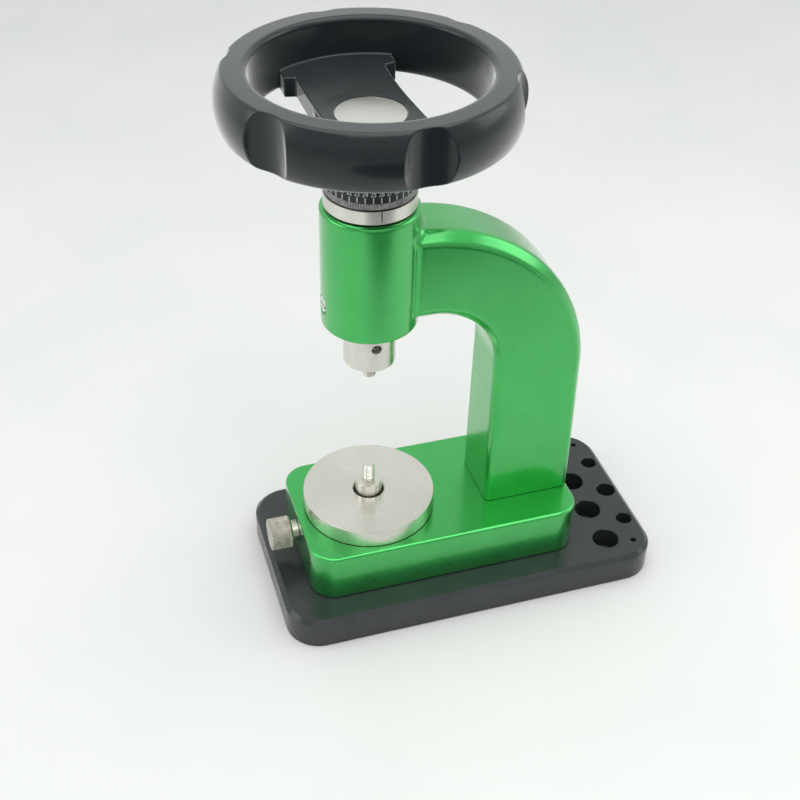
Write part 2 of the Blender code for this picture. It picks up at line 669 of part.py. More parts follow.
def window_outline(side):
    """Plan view of one opening between the spokes and the rim, in the wheel's own frame."""
    reach = math.degrees(math.acos(SHOULDER_HALF_WIDTH / RIM_INNER_RADIUS))
    rim = arc((0, 0), RIM_INNER_RADIUS, -reach, reach, 12)
    corner = [(SHOULDER_HALF_WIDTH, SHOULDER_FROM), (SPOKE_HALF_WIDTH + 1.5, SHOULDER_FROM),
              (SPOKE_HALF_WIDTH, SHOULDER_FROM - 1.5)]
    half = rim + corner + [(x, -y) for x, y in reversed(corner)]
    return [(side * x, y) for x, y in half]


def turn_tool(tool):
    """Set a wheel cutter round to the angle that the wheel stands at."""
    tool.rotation_euler = (0, 0, math.radians(WHEEL_REST_ANGLE))
    return tool


def handwheel():
    wheel = turned("handwheel", wheel_profile(), 60, finish="wheel_black")
    for side in (-1, 1):
        cut(wheel, turn_tool(extruded(f"wheel_window_{side}", window_outline(side), 230, 263)))
    distance = WHEEL_RADIUS + SCALLOP_RADIUS - SCALLOP_DEPTH
    for lobe in range(LOBES):
        angle = math.radians(-90 + WHEEL_REST_ANGLE + 360 / LOBES * lobe)
        place = (distance * math.cos(angle), distance * math.sin(angle), 0)
        cut(wheel, rod(f"scallop_{lobe}", SCALLOP_RADIUS, 240, 290, 48, place))
    return cut(
        wheel,
        rod("cap_seat", CAP_RADIUS + GAP, HUB_TOP - CAP_THICKNESS - GAP, HUB_TOP + OVERRUN, 36),
        rod("nut_recess", NUT_RECESS_RADIUS, NUT_RECESS_FLOOR, HUB_TOP, 24),
        box("hub_keyway", (HUB_BORE - 2, -KEY_HALF_WIDTH - GAP, HUB_BOTTOM - OVERRUN),
            (9.2, KEY_HALF_WIDTH + GAP, NUT_RECESS_FLOOR + 1)))


def hub_cap():
    low = HUB_TOP - CAP_THICKNESS
    return turned("hub_cap", [(0, HUB_TOP), (CAP_RADIUS - 0.3, HUB_TOP), (CAP_RADIUS, HUB_TOP - 0.3),
                              (CAP_RADIUS, low), (0, low)], 36, finish="nickel")


def wheel_key():
    return box("wheel_key", (5.6, -KEY_HALF_WIDTH, HUB_BOTTOM + GAP),
               (8.9, KEY_HALF_WIDTH, SCREW_SEAT_TOP), finish="steel")


def wheel_washer():
    inner = SCREW_END_RADIUS + GAP
    low = NUT_RECESS_FLOOR + GAP
    return turned("wheel_washer", [(inner, low + 1.2), (9.5, low + 1.2), (9.5, low), (inner, low)],
                  24, finish="steel")


def wheel_nut():
    """Thin hexagon nut on the lead screw's end."""
    low = NUT_RECESS_FLOOR + 1.2 + 2 * GAP
    nut = rod("wheel_nut", 16.0 / math.sqrt(3), low, low + 4.4, 6, finish="steel")
    return cut(nut, rod("wheel_nut_thread", SCREW_END_RADIUS + GAP, low - OVERRUN,
                        low + 4.4 + OVERRUN, 24))


# ---------------------------------------------------------------- assembly

def group(name, at, pieces):
    """Parent the pieces that move together to an empty on their joint's axis."""
    empty = bpy.data.objects.new(name, None)
    empty.location = metres(at)
    PRESS.objects.link(empty)
    for piece in pieces:
        piece.parent = empty
        piece.location -= empty.location
    return empty


def shade_round_pieces():
    for piece in PRESS.objects:
        if piece.type == "MESH":
            piece.data.shade_smooth()
            piece.data.set_sharp_from_angle(angle=math.radians(35))


def build():
    base_plate()
    base_block()
    c_frame()
    plate_screws()
    frame_screws()
    frame_dowels()
    post_bush()
    head_collar()
    thrust_washer()
    ram_bush()
    key_screw()
    group("anvil_turn", (0, 0, 0), [anvil_disc()])
    group("post_lift", (0, 0, 0), [die_post()])
    group("thumb_screw_turn", (0, 0, THUMB_Z), [thumb_screw(), clamp_pad()])
    group("ram_feed", (0, 0, 0), [ram(), ram_nut(), chuck_screw(), upper_stud()])
    group("handwheel_turn", (0, 0, 0), [
        handwheel(), hub_cap(), wheel_key(), wheel_washer(), wheel_nut(), lead_screw(),
        dial_ring(), dial_friction_ring()])
    shade_round_pieces()


build()
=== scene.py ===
"""Looks of the watch case press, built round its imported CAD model.

Sizes in this file are millimetres in the CAD model's frame: +Z up the spindle, +X towards the
column, and the bench at 0. Meshes are scaled to metres as they are made.
"""

import json
import math

import bmesh
import bpy
import numpy as np
from mathutils import Matrix, Vector


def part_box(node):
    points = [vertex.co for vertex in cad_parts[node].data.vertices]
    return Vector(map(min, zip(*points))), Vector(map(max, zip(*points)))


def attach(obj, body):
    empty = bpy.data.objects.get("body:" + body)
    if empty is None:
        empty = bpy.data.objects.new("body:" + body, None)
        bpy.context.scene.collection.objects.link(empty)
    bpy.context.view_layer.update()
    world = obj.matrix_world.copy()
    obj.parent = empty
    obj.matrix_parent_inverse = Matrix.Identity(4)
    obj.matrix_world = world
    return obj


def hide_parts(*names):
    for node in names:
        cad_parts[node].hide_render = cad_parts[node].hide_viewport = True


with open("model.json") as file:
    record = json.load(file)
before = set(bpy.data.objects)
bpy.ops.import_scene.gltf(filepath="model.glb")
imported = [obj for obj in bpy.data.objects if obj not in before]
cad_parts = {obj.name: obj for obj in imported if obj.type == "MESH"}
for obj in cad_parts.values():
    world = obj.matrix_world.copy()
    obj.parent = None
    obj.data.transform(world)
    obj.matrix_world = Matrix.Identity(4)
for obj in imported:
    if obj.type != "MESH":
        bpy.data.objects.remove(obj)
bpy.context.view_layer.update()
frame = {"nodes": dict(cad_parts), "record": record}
MM = 0.001
SHARP_ANGLE = math.radians(32)
FIELD_NORMAL_ANGLE = math.radians(50)
SETTLE_PASSES, SETTLE_SHARE = 3, 0.9


def cad_box(node):
    """A CAD node's corners in millimetres."""
    low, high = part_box(node)
    return low / MM, high / MM


PLATE_LOW, PLATE_HIGH = cad_box("base_plate")
BLOCK_LOW, BLOCK_HIGH = cad_box("base_block")
FRAME_LOW, FRAME_HIGH = cad_box("c_frame")
DISC_LOW, DISC_HIGH = cad_box("anvil_disc")
POST_LOW, POST_HIGH = cad_box("die_post")
RAM_LOW, RAM_HIGH = cad_box("ram")
COLLAR_LOW, COLLAR_HIGH = cad_box("head_collar")
DIAL_LOW, DIAL_HIGH = cad_box("dial_ring")
WHEEL_LOW, WHEEL_HIGH = cad_box("handwheel")
CAP_LOW, CAP_HIGH = cad_box("hub_cap")
STUD_LOW, STUD_HIGH = cad_box("upper_stud")
THUMB_LOW, THUMB_HIGH = cad_box("thumb_screw")
KEY_LOW, KEY_HIGH = cad_box("key_screw")
GRUB_LOW, GRUB_HIGH = cad_box("chuck_screw")


# ---------------------------------------------------------------- mesh helpers

def add_piece(name, mesh):
    made = bpy.data.objects.new(name, mesh)
    bpy.context.scene.collection.objects.link(made)
    return made


def bake_modifiers(piece):
    """Put the evaluated mesh in the place of the modifiers."""
    evaluated = piece.evaluated_get(bpy.context.evaluated_depsgraph_get())
    mesh = bpy.data.meshes.new_from_object(evaluated)
    mesh.name = piece.name
    piece.modifiers.clear()
    piece.data = mesh
    return piece


def cut(piece, *cutters):
    """Cut each closed mesh out of the piece."""
    for cutter in cutters:
        step = piece.modifiers.new("cut", "BOOLEAN")
        step.operation = "DIFFERENCE"
        step.solver = "EXACT"
        step.object = cutter
    bake_modifiers(piece)
    for cutter in cutters:
        bpy.data.objects.remove(cutter)
    return piece


def shade(piece):
    """Smooth shading with sharp edges kept, and flat faces kept flat next to small roundings."""
    piece.data.shade_smooth()
    piece.data.set_sharp_from_angle(angle=SHARP_ANGLE)
    step = piece.modifiers.new("flat_faces", "WEIGHTED_NORMAL")
    step.keep_sharp = True
    return bake_modifiers(piece)


def place(piece, at=(0, 0, 0), along=(0, 0, 1)):
    """Turn the mesh's Z axis to point along a direction and move it, in the mesh itself."""
    turn = Vector((0, 0, 1)).rotation_difference(Vector(along)).to_matrix().to_4x4()
    piece.data.transform(Matrix.Translation(Vector(at) * MM) @ turn)
    return piece


def lathe(name, profile, segments=96, relief=None):
    """Turn (radius, height) points, listed down the outer side, about Z.

    A profile that starts and ends off the axis closes on itself. relief(radius, angle, height)
    gives the radius where the surface is knurled or threaded.
    """
    closed = profile[0][0] > 0
    angles = np.arange(segments) * 2 * math.pi / segments
    rings, points = [], []
    for radius, height in profile:
        if radius == 0:
            rings.append([len(points)] * segments)
            points.append((0.0, 0.0, height * MM))
            continue
        radii = relief(radius, angles, height) if relief else np.full(segments, radius)
        rings.append(range(len(points), len(points) + segments))
        points.extend(zip(radii * np.cos(angles) * MM, radii * np.sin(angles) * MM,
                          np.full(segments, height * MM)))
    faces = []
    for index in range(len(rings) - (0 if closed else 1)):
        upper, lower = rings[index], rings[(index + 1) % len(rings)]
        for i in range(segments):
            j = (i + 1) % segments
            corners = (upper[i], lower[i], lower[j], upper[j])
            faces.append(tuple(dict.fromkeys(corners)))
    mesh = bpy.data.meshes.new(name)
    mesh.from_pydata(points, [], faces)
    mesh.validate()
    return add_piece(name, mesh)


def rounded(corner_in, corner, corner_out, radius, steps=4):
    """Points of an arc that rounds a profile's corner between its two neighbours."""
    corner = Vector(corner)
    before = (Vector(corner_in) - corner).normalized()
    after = (Vector(corner_out) - corner).normalized()
    half = math.acos(max(-1.0, min(1.0, before.dot(after)))) / 2
    reach = radius / math.tan(half)
    centre = corner + (before + after).normalized() * radius / math.sin(half)
    start = corner + before * reach - centre
    end = corner + after * reach - centre
    points = []
    for step in range(steps + 1):
        swing = start.slerp(end, step / steps)
        points.append(tuple(centre + swing))
    return points


def softened(profile, radius):
    """Round every corner of a closed profile by a small radius."""
    points = []
    for index, corner in enumerate(profile):
        following = profile[(index + 1) % len(profile)]
        points += rounded(profile[index - 1], corner, following, radius)
    return points


def rounded_rectangle(x_range, half_width, radius, steps=14):
    """Outline points of a rectangle with round corners."""
    points = []
    for quarter in range(4):
        centre_x = x_range[1] - radius if quarter in (0, 3) else x_range[0] + radius
        centre_y = (half_width - radius) * (1 if quarter < 2 else -1)
        for step in range(steps + 1):
            angle = math.radians(90 * (quarter + step / steps))
            points.append((centre_x + radius * math.cos(angle),
                           centre_y + radius * math.sin(angle)))
    return points


def slab(name, x_range, half_width, corner, rings):
    """A rounded slab from (inset, height) rings, lowest first, with flat ends."""
    points, faces = [], []
    for inset, height in rings:
        span = (x_range[0] + inset, x_range[1] - inset)
        outline = rounded_rectangle(span, half_width - inset, corner - inset)
        points += [(x * MM, y * MM, height * MM) for x, y in outline]
    count = len(points) // len(rings)
    for level in range(len(rings) - 1):
        for i in range(count):
            j = (i + 1) % count
            faces.append((level * count + i, level * count + j,
                          (level + 1) * count + j, (level + 1) * count + i))
    faces.append(tuple(reversed(range(count))))
    faces.append(tuple(range(len(points) - count, len(points))))
    mesh = bpy.data.meshes.new(name)
    mesh.from_pydata(points, [], faces)
    return add_piece(name, mesh)


def edge_rings(height, radius, steps):
    """Rings of a slab between two heights whose top edge is round."""
    low_chamfer = 0.4
    rings = [(low_chamfer, height[0]), (0, height[0] + low_chamfer)]
    for step in range(steps + 1):
        angle = math.pi / 2 * step / steps
        rings.append((radius * (1 - math.cos(angle)), height[1] - radius * (1 - math.sin(angle))))
    return rings


def hex_rod(name, across_flats, low, high):
    return lathe(name, [(0, high), (across_flats / math.sqrt(3), high),
                        (across_flats / math.sqrt(3), low), (0, low)], 6)


def plain_rod(name, radius, low, high, segments=64):
    return lathe(name, [(0, high), (radius, high), (radius, low), (0, low)], segments)


def box_piece(name, low, high):
    mesh = bpy.data.meshes.new(name)
    shape = bmesh.new()
    bmesh.ops.create_cube(shape, size=1.0)
    low, high = Vector(low) * MM, Vector(high) * MM
    bmesh.ops.scale(shape, verts=shape.verts, vec=high - low)
    bmesh.ops.translate(shape, verts=shape.verts, vec=(low + high) / 2)
    shape.to_mesh(mesh)
    shape.free()
    return add_piece(name, mesh)


# ---------------------------------------------------------------- surfaces from distance fields

def smooth_min(a, b, blend):
    """Union of two distance fields with a hollow fillet where they meet."""
    share = np.clip(0.5 + 0.5 * (b - a) / blend, 0.0, 1.0)
    return b + (a - b) * share - blend * share * (1.0 - share)


def smooth_max(a, b, blend):
    """Intersection of two distance fields with a rounded edge where they meet."""
    return -smooth_min(-a, -b, blend)


def surface_net(name, field, low, high, step):
    """Mesh of the surface where field(x, y, z) is 0, negative inside, on a regular grid."""
    axes = [np.arange(a, b + step, step, dtype=np.float32) for a, b in zip(low, high)]
    values = field(axes[0][:, None, None], axes[1][None, :, None], axes[2][None, None, :])
    inside = values < 0
    shape = np.array(values.shape) - 1
    count = np.zeros(shape, np.int8)
    for i in (0, 1):
        for j in (0, 1):
            for k in (0, 1):
                count += inside[i:shape[0] + i, j:shape[1] + j, k:shape[2] + k]
    cells = np.argwhere((count > 0) & (count < 8))
    number = np.full(shape, -1, np.int32)
    number[tuple(cells.T)] = np.arange(len(cells))
    points = edge_crossings(values, cells) * step + np.array(low)
    faces = crossing_faces(inside, number)
    points = settle(field, points, step)
    mesh = bpy.data.meshes.new(name)
    mesh.from_pydata((points * MM).tolist(), [], faces.tolist())
    return add_piece(name, mesh)


def edge_crossings(values, cells):
    """For each cell, the mean of the points where its edges cross the surface."""
    total = np.zeros((len(cells), 3))
    hits = np.zeros(len(cells))
    for axis in range(3):
        side = [a for a in range(3) if a != axis]
        for first in (0, 1):
            for second in (0, 1):
                start = cells.copy()
                start[:, side[0]] += first
                start[:, side[1]] += second
                end = start.copy()
                end[:, axis] += 1
                a, b = values[tuple(start.T)], values[tuple(end.T)]
                crossed = (a < 0) != (b < 0)
                where = start[crossed].astype(float)
                where[:, axis] += a[crossed] / (a[crossed] - b[crossed])
                total[crossed] += where
                hits[crossed] += 1
    return total / hits[:, None]


def crossing_faces(inside, number):
    """One quad round each grid edge that crosses the surface, facing out."""
    quads = []
    for axis in range(3):
        first, second = (axis + 1) % 3, (axis + 2) % 3
        near = np.take(inside, range(inside.shape[axis] - 1), axis)
        far = np.take(inside, range(1, inside.shape[axis]), axis)
        edges = np.argwhere(near != far)
        inner = (edges[:, first] > 0) & (edges[:, first] < number.shape[first])
        inner &= (edges[:, second] > 0) & (edges[:, second] < number.shape[second])
        edges = edges[inner]
        back_first, back_second = np.zeros(3, int), np.zeros(3, int)
        back_first[first], back_second[second] = 1, 1
        corners = [edges, edges - back_first, edges - back_first - back_second,
                   edges - back_second]
        quad = np.stack([number[tuple(corner.T)] for corner in corners], axis=1)
        outward = near[tuple(edges.T)]
        quad[~outward] = quad[~outward][:, ::-1]
        quads.append(quad)
    return np.concatenate(quads)


def gradient(field, points, step=0.02):
    """Unit direction away from the surface at each point."""
    parts = []
    for axis in range(3):
        ahead, behind = points.copy(), points.copy()
        ahead[:, axis] += step
        behind[:, axis] -= step
        parts.append(field(*ahead.T) - field(*behind.T))
    slope = np.stack(parts, axis=1)
    return slope / np.maximum(np.linalg.norm(slope, axis=1), 1e-9)[:, None]


def settle(field, points, step):
    """Move the points onto the surface itself."""
    for _ in range(SETTLE_PASSES):
        distance = np.clip(field(*points.T), -step, step)
        points = points - gradient(field, points) * distance[:, None] * SETTLE_SHARE
    return points


def shade_from_field(piece, field):
    """Give each corner the field's own normal, or its face's where a plain cut was made."""
    mesh = piece.data
    mesh.shade_smooth()
    places = np.empty(len(mesh.vertices) * 3, np.float32)
    mesh.vertices.foreach_get("co", places)
    smooth = gradient(field, places.reshape(-1, 3).astype(float) / MM)
    owner = np.empty(len(mesh.loops), np.int32)
    mesh.loops.foreach_get("vertex_index", owner)
    faces = np.empty(len(mesh.polygons) * 3, np.float32)
    mesh.polygons.foreach_get("normal", faces)
    sizes = np.empty(len(mesh.polygons), np.int32)
    mesh.polygons.foreach_get("loop_total", sizes)
    flat = np.repeat(faces.reshape(-1, 3), sizes, axis=0)
    wanted = smooth[owner]
    agrees = np.einsum("ij,ij->i", wanted, flat) > math.cos(FIELD_NORMAL_ANGLE)
    wanted[~agrees] = flat[~agrees]
    mesh.normals_split_custom_set(wanted.tolist())
    return piece


# ---------------------------------------------------------------- materials

class Shader:
    """A material's node tree, with its Principled shader and shared coordinates."""

    def __init__(self, name, colour, roughness, metallic=0.0, **sockets):
        self.material = bpy.data.materials.new(name)
        self.material.use_nodes = True
        self.tree = self.material.node_tree
        self.shader = self.tree.nodes["Principled BSDF"]
        self.place = self.tree.nodes.new("ShaderNodeTexCoord").outputs["Object"]
        self.shader.inputs["Base Color"].default_value = (*colour, 1.0)
        self.shader.inputs["Roughness"].default_value = roughness
        self.shader.inputs["Metallic"].default_value = metallic
        for socket, value in sockets.items():
            self.shader.inputs[socket.replace("_", " ")].default_value = value
        self.material.diffuse_color = (*colour, 1.0)

    def node(self, kind, **settings):
        made = self.tree.nodes.new(kind)
        for key, value in settings.items():
            setattr(made, key, value)
        return made

    def link(self, source, target):
        self.tree.links.new(source, target)

    def noise(self, scale, detail, source=None):
        """Noise whose features are about 1 / scale metres across."""
        made = self.node("ShaderNodeTexNoise")
        made.inputs["Scale"].default_value = scale
        made.inputs["Detail"].default_value = detail
        self.link(source or self.place, made.inputs["Vector"])
        return made.outputs["Fac"]

    def ramp(self, source, low, high, start=0.35, end=0.65):
        """Map a texture to a value or a colour between low and high."""
        made = self.node("ShaderNodeMapRange")
        colours = isinstance(low, tuple)
        made.inputs["From Min"].default_value = start
        made.inputs["From Max"].default_value = end
        if not colours:
            made.inputs["To Min"].default_value = low
            made.inputs["To Max"].default_value = high
        self.link(source, made.inputs["Value"])
        if not colours:
            return made.outputs["Result"]
        mix = self.node("ShaderNodeMix", data_type="RGBA")
        mix.inputs["A"].default_value = (*low, 1.0)
        mix.inputs["B"].default_value = (*high, 1.0)
        self.link(made.outputs["Result"], mix.inputs["Factor"])
        return mix.outputs["Result"]

    def vary_colour(self, source, low, high, start=0.35, end=0.65):
        self.link(self.ramp(source, low, high, start, end), self.shader.inputs["Base Color"])

    def vary_roughness(self, source, low, high):
        self.link(self.ramp(source, low, high), self.shader.inputs["Roughness"])

    def bump(self, source, depth_mm):
        """Raise the surface by a texture."""
        made = self.node("ShaderNodeBump")
        made.inputs["Strength"].default_value = 1.0
        made.inputs["Distance"].default_value = depth_mm * MM
        self.link(source, made.inputs["Height"])
        self.link(made.outputs["Normal"], self.shader.inputs["Normal"])

    def turning(self, scale):
        """Fine rings left by a lathe round the Z axis: noise of radius and height only."""
        split = self.node("ShaderNodeSeparateXYZ")
        self.link(self.place, split.inputs["Vector"])
        flat = self.node("ShaderNodeCombineXYZ")
        self.link(split.outputs["X"], flat.inputs["X"])
        self.link(split.outputs["Y"], flat.inputs["Y"])
        radius = self.node("ShaderNodeVectorMath", operation="LENGTH")
        self.link(flat.outputs["Vector"], radius.inputs[0])
        both = self.node("ShaderNodeCombineXYZ")
        self.link(radius.outputs["Value"], both.inputs["X"])
        self.link(split.outputs["Z"], both.inputs["Z"])
        return self.noise(scale, 2.0, both.outputs["Vector"])


def green_coat():
    made = Shader("green_coat", (0.036, 0.45, 0.085), 0.3, 0.9, Coat_Weight=1.0,
                  Coat_Roughness=0.13)
    made.vary_colour(made.noise(35, 4), (0.033, 0.435, 0.080), (0.040, 0.465, 0.091))
    made.vary_roughness(made.noise(90, 5), 0.27, 0.33)
    return made.material


def black_coat():
    made = Shader("black_coat", (0.024, 0.027, 0.030), 0.24, 0.0)
    made.vary_colour(made.noise(60, 4), (0.022, 0.025, 0.028), (0.027, 0.030, 0.033))
    made.vary_roughness(made.noise(140, 6), 0.20, 0.29)
    return made.material


def wheel_black():
    made = Shader("wheel_black", (0.005, 0.009, 0.011), 0.24, 0.0, Specular_IOR_Level=0.3,
                  Coat_Weight=0.25, Coat_Roughness=0.15, Sheen_Weight=0.85, Sheen_Roughness=0.35)
    made.vary_colour(made.noise(40, 5), (0.004, 0.008, 0.010), (0.006, 0.010, 0.012))
    made.vary_roughness(made.noise(120, 6), 0.21, 0.28)
    return made.material


def nickel(name="nickel", turned=True):
    tint = (0.71, 0.695, 0.64) if turned else (0.80, 0.80, 0.755)
    made = Shader(name, tint, 0.27, 1.0, Anisotropic=0.8 if turned else 0.0,
                  Anisotropic_Rotation=0.25)
    made.vary_colour(made.noise(50, 5), tuple(0.98 * share for share in tint),
                     tuple(1.02 * share for share in tint))
    made.vary_roughness(made.noise(120, 3), 0.25, 0.29)
    if turned:
        made.bump(made.turning(1200), 0.0006)
    return made.material


def nickel_knurled():
    made = Shader("nickel_knurled", (0.46, 0.44, 0.395), 0.36, 1.0)
    made.vary_colour(made.noise(300, 5), (0.44, 0.41, 0.36), (0.60, 0.575, 0.52))
    made.vary_roughness(made.noise(500, 5), 0.30, 0.44)
    return made.material


def steel():
    made = Shader("steel", (0.42, 0.42, 0.43), 0.36, 1.0)
    made.vary_colour(made.noise(80, 5), (0.36, 0.36, 0.37), (0.47, 0.47, 0.47))
    made.vary_roughness(made.noise(300, 6), 0.28, 0.45)
    made.bump(made.turning(1800), 0.006)
    return made.material


def bronze():
    made = Shader("bronze", (0.50, 0.32, 0.13), 0.36, 1.0)
    made.vary_colour(made.noise(90, 5), (0.44, 0.27, 0.10), (0.56, 0.37, 0.17))
    made.vary_roughness(made.noise(280, 5), 0.28, 0.44)
    made.bump(made.turning(1600), 0.008)
    return made.material


def rubber():
    made = Shader("rubber", (0.02, 0.02, 0.02), 0.75)
    made.vary_roughness(made.noise(400, 4), 0.65, 0.85)
    made.bump(made.noise(2500, 3), 0.02)
    return made.material


def dial_black():
    made = Shader("dial_black", (0.016, 0.018, 0.019), 0.34, 0.25)
    made.vary_colour(made.noise(120, 4), (0.013, 0.015, 0.016), (0.022, 0.024, 0.025))
    made.vary_roughness(made.noise(500, 5), 0.28, 0.42)
    made.bump(made.turning(2200), 0.004)
    return made.material


def dial_band():
    made = Shader("dial_band", (0.24, 0.245, 0.24), 0.38, 0.8)
    made.vary_colour(made.noise(700, 4), (0.18, 0.185, 0.185), (0.32, 0.325, 0.32))
    made.vary_roughness(made.noise(900, 5), 0.30, 0.46)
    return made.material


def dial_white():
    made = Shader("dial_white", (0.62, 0.63, 0.60), 0.55)
    made.vary_colour(made.noise(1800, 4), (0.42, 0.44, 0.42), (0.70, 0.70, 0.67), 0.3, 0.55)
    made.bump(made.noise(4000, 3), 0.01)
    return made.material


def index_dark():
    made = Shader("index_dark", (0.03, 0.03, 0.03), 0.6)
    made.vary_colour(made.noise(2500, 3), (0.02, 0.02, 0.02), (0.07, 0.07, 0.065))
    return made.material


GREEN = green_coat()
PLATE_BLACK = black_coat()
WHEEL_BLACK = wheel_black()
NICKEL = nickel()
NICKEL_PLAIN = nickel("nickel_plain", False)
NICKEL_KNURLED = nickel_knurled()
STEEL = steel()
BRONZE = bronze()
RUBBER = rubber()
DIAL_BLACK = dial_black()
DIAL_BAND = dial_band()
DIAL_WHITE = dial_white()
INDEX_DARK = index_dark()

CAD_FINISH = {
    "green_coat": GREEN, "black_coat": PLATE_BLACK, "wheel_black": WHEEL_BLACK,
    "dial_black": DIAL_BLACK, "nickel": NICKEL, "steel": STEEL, "bronze": BRONZE,
    "rubber": RUBBER,
}


def finish_piece(piece, material, body, node=None):
    """Give the piece its material, let it ride on its body and stand for its CAD node."""
    piece.data.materials.clear()
    piece.data.materials.append(material)
    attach(piece, body)
    if node:
        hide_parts(node)
    return piece


# ---------------------------------------------------------------- base

PLATE_CORNER = 16.9
PLATE_CHAMFER = 2.4
BLOCK_CORNER = 12.6
BLOCK_EDGE = 1.7
RACK_PITCH = 23.0
RACK_DEPTH = 12.0
MOUTH_CHAMFER = 0.35
PLATE_SCREW_X = (-24.0, 88.0)
PLATE_SCREW_Y = 26.0


def rack_holes():
    """Storage holes of the base plate: x, y and radius."""
    holes = [(118.5, RACK_PITCH * row, 6.7) for row in (-1.5, -0.5, 0.5, 1.5)]
    holes.append((134.3, 0.0, 4.9))
    for side in (-1, 1):
        holes.append((134.3, RACK_PITCH * side, 4.0))
        holes.append((132.2, 39.3 * side, 1.45))
    return holes


def hole_cutter(x, y, radius, top, depth):
    """A drill with a small countersink at the mouth and a conical end."""
    over = 1.0
    floor = top - depth
    profile = [(0, top + over), (radius + MOUTH_CHAMFER + over, top + over),
               (radius, top - MOUTH_CHAMFER), (radius, floor), (0, floor - radius * 0.3)]
    return place(lathe("drill", profile, 64), (x, y, 0))


def base_plate():
    edge = 0.25
    rings = [(0.5, PLATE_LOW.z), (0, PLATE_LOW.z + 0.5), (0, PLATE_HIGH.z - PLATE_CHAMFER - edge),
             (edge * 0.3, PLATE_HIGH.z - PLATE_CHAMFER + edge * 0.6),
             (PLATE_CHAMFER - edge * 0.6, PLATE_HIGH.z - edge * 0.3),
             (PLATE_CHAMFER + edge, PLATE_HIGH.z)]
    span = (PLATE_LOW.x, PLATE_HIGH.x)
    plate = slab("press_base_plate", span, PLATE_HIGH.y, PLATE_CORNER, rings)
    drills = [hole_cutter(x, y, radius, PLATE_HIGH.z, RACK_DEPTH) for x, y, radius in rack_holes()]
    for x in PLATE_SCREW_X:
        for side in (-1, 1):
            seat = plain_rod("screw_seat", 5.5, -1, 7.1)
            drills.append(place(seat, (x, side * PLATE_SCREW_Y, 0)))
    cut(plate, *drills)
    return finish_piece(shade(plate), PLATE_BLACK, "frame", "base_plate")


def base_block():
    span = (BLOCK_LOW.x, BLOCK_HIGH.x)
    rings = edge_rings((BLOCK_LOW.z, BLOCK_HIGH.z), BLOCK_EDGE, 6)
    block = slab("press_base_block", span, BLOCK_HIGH.y, BLOCK_CORNER, rings)
    recess_radius = DISC_HIGH.x + 0.4
    recess = plain_rod("disc_recess", recess_radius, BLOCK_HIGH.z - 0.8, BLOCK_HIGH.z + 1, 128)
    screw_z = (THUMB_LOW.z + THUMB_HIGH.z) / 2
    thumb_hole = lathe("thumb_hole", [(0, 40), (5.0, 40), (3.3, -BLOCK_LOW.x - 0.4), (3.3, 25),
                                      (0, 25)], 48)
    cut(block, recess, place(thumb_hole, (0, 0, screw_z), (-1, 0, 0)))
    return finish_piece(shade(block), GREEN, "frame", "base_block")


def plate_screws():
    for number in range(1, 5):
        node = f"plate_screw_{number}"
        low, high = cad_box(node)
        middle = (low + high) / 2
        top = low.z + 6.0
        profile = [(0, high.z), (3.0, high.z), (3.0, top), (5.0, top), (5.0, low.z + 0.5),
                   (4.5, low.z), (0, low.z)]
        screw = lathe(f"press_{node}", profile, 48)
        cut(screw, hex_rod("key_socket", 5.0, low.z - 1, low.z + 3.3))
        place(screw, (middle.x, middle.y, 0))
        finish_piece(shade(screw), STEEL, "frame", node)


# ---------------------------------------------------------------- column, arm and head

COLUMN_INNER, COLUMN_BACK = 56.6, FRAME_HIGH.x
ARM_HALF_WIDTH = 17.0
ARM_TOP, ARM_UNDERSIDE = 204.3, 160.4
ARM_START = 13.0
ARM_EDGE, COLUMN_FOOT_EDGE = 4.6, 1.6
BACK_RADIUS, THROAT_RADIUS = 84.6, 32.0
HEAD_RADIUS = FRAME_HIGH.y
HEAD_TOP, HEAD_BOTTOM = FRAME_HIGH.z, 155.7
HEAD_TOP_EDGE, HEAD_BOTTOM_EDGE = 2.0, 1.0
SIDE_FILLET, TOP_FILLET = 1.6, 3.4
CHAMFER_BLEND = 1.3
BORE_RADIUS, BORE_MOUTH, BORE_MOUTH_Z = 14.0, 1.3, 202.8
KEY_SCREW_Z, KEY_HOLE_RADIUS = 166.5, 4.3
FRAME_STEP = 0.75


def round_corner(x, z, right, top, radius):
    """Distance to a region left of one line and below another, whose corner is round."""
    from_x, from_z = x - (right - radius), z - (top - radius)
    flat = np.maximum(x - right, z - top)
    turn = np.sqrt(from_x ** 2 + from_z ** 2) - radius
    return np.where((from_x > 0) & (from_z > 0), turn, flat)


def edge_rounded(profile, sideways, edge):
    """Distance to a profile carried across a width, with its edges rounded."""
    across, along = profile + edge, sideways + edge
    outside = np.sqrt(np.maximum(across, 0) ** 2 + np.maximum(along, 0) ** 2)
    return np.minimum(np.maximum(across, along), 0) + outside - edge


def edge_chamfered(profile, sideways, leg):
    """Distance to a profile carried across a width, with soft 45 degree chamfers on its edges."""
    square = np.maximum(profile, sideways)
    return smooth_max(square, (profile + sideways + leg) / math.sqrt(2), CHAMFER_BLEND)


def between(value, low, high):
    """0 below low, 1 above high and straight in between."""
    return np.clip((value - low) / (high - low), 0.0, 1.0)


